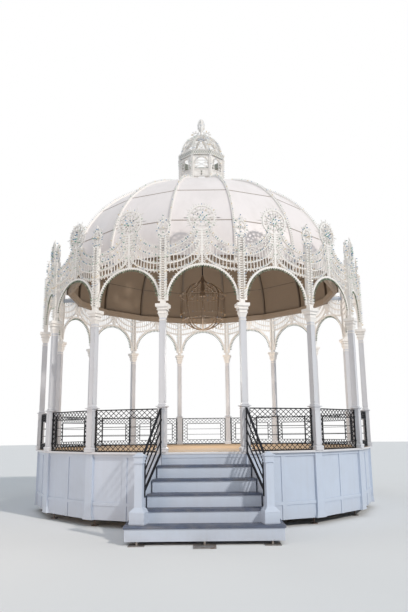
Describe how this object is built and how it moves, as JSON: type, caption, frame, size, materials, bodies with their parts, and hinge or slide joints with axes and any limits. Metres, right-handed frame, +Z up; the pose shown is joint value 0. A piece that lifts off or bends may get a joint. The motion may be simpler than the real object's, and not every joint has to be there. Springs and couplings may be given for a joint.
{
  "type": "bandstand",
  "caption": "Round festive bandstand: a raised railed stage with a stair, slender columns, openwork light arches, a ribbed dome with a hanging light and a small open lantern.",
  "frame": {"origin": "on the ground under the centre of the round plan, at the sole of the middle foot", "axes": "+Z up, the stair faces -Y, +X to the right of a person who faces the stair"},
  "size_m": [8.1402, 9.7052, 10.48],
  "materials": {
    "white_paint": "white paint, slightly dusty",
    "light_woodwork": "white painted openwork wood",
    "dome_sheet": "white painted sheet, satin",
    "tread_paint": "worn blue-grey floor paint",
    "deck_boards": "worn reddish-brown boards",
    "black_iron": "black painted iron",
    "galvanised": "weathered galvanised steel with some rust",
    "gilt_wood": "aged gold-brown painted openwork",
    "lamp_glass": "small opal lamps"
  },
  "bodies": {
    "root": {"capitals": "white_paint", "column_shafts": "white_paint", "cupola_hub": "white_paint", "cupola_ribs": "light_woodwork", "cupola_volutes": "light_woodwork", "deck_floor": "deck_boards", "deck_frame": "galvanised", "deck_props": "galvanised", "dome_brackets": "white_paint", "dome_panels_high": "dome_sheet", "dome_panels_low": "dome_sheet", "dome_panels_middle": "dome_sheet", "dome_ribs": "light_woodwork", "finial": "light_woodwork", "hanging_beam": "galvanised", "hanging_light": "gilt_wood", "hanging_rod": "black_iron", "lantern_cornice": "light_woodwork", "lantern_curb": "light_woodwork", "lantern_faces": "light_woodwork", "lantern_posts": "light_woodwork", "light_friezes_01": "light_woodwork", "light_friezes_03": "light_woodwork", "light_friezes_05": "light_woodwork", "light_friezes_07": "light_woodwork", "light_friezes_09": "light_woodwork", "light_friezes_11": "light_woodwork", "light_friezes_13": "light_woodwork", "light_friezes_15": "light_woodwork", "light_uprights": "light_woodwork", "newel_posts": "white_paint", "pedestals": "white_paint", "railings_back": "black_iron", "railings_left": "black_iron", "railings_right": "black_iron", "rim_beam": "white_paint", "screw_feet": "galvanised", "skirt_fascia": "white_paint", "skirt_panels": "white_paint", "skirt_pilasters": "white_paint", "stair_base": "white_paint", "stair_feet": "galvanised", "stair_rails": "black_iron", "stair_risers": "white_paint", "stair_sides": "white_paint", "stair_treads": "tread_paint", "upright_crowns": "light_woodwork"}
  },
  "joints": []
}
